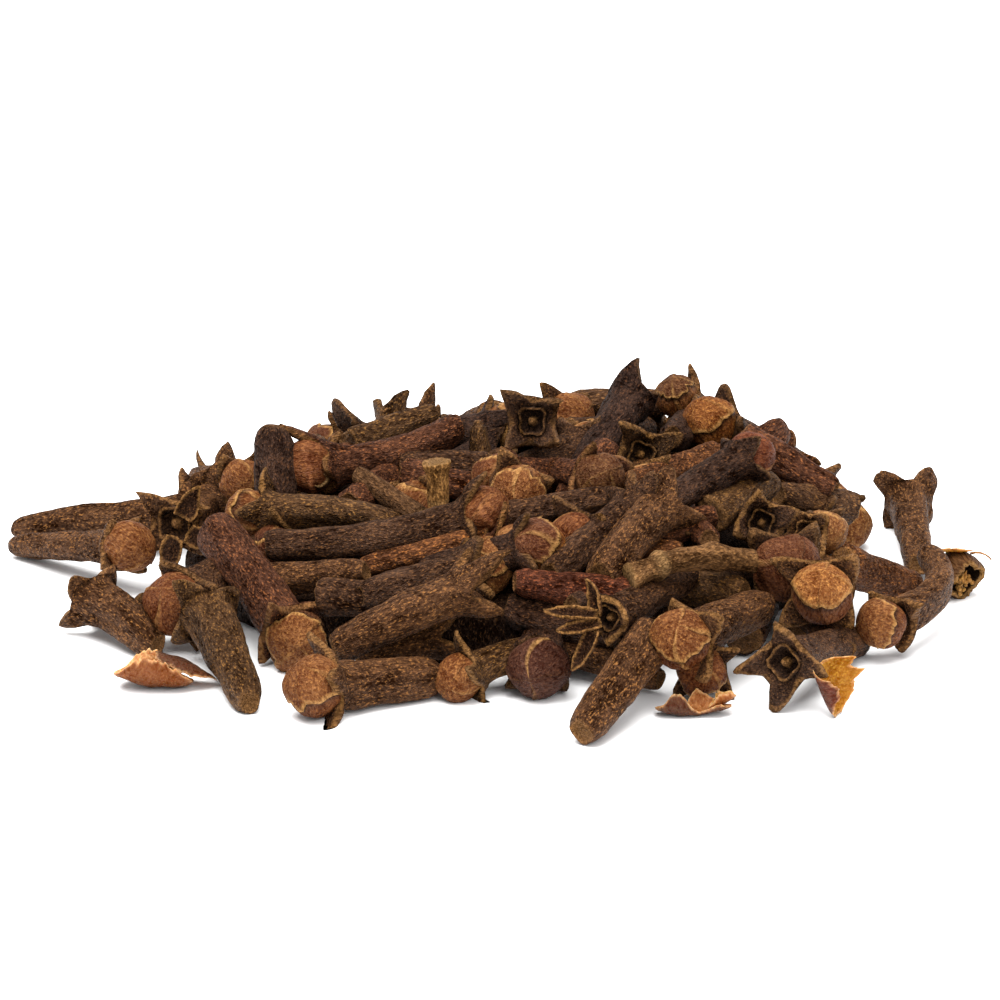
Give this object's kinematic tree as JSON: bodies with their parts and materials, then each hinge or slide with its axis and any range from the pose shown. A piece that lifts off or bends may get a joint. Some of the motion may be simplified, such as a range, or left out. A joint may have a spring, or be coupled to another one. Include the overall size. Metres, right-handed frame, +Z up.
{
  "type": "heap of whole cloves",
  "caption": "Loose low heap of dried whole cloves lying on a flat surface, with a clove, a broken head and petal flakes beside it.",
  "frame": {"origin": "on the surface that the heap lies on, under the middle of the heap", "axes": "+Z up; the heap is seen from -Y, with +X to the right"},
  "size_m": [0.0742, 0.0675, 0.0143],
  "materials": {
    "clove": "dry, wrinkled, dull with a faint oily sheen",
    "petal": "thin dry petal, slightly translucent"
  },
  "bodies": {
    "root": {"clove_heap": "clove", "clove_apart": "clove", "broken_head": "clove", "petal_left": "petal", "petal_front": "petal", "petal_right": "petal"}
  },
  "joints": []
}
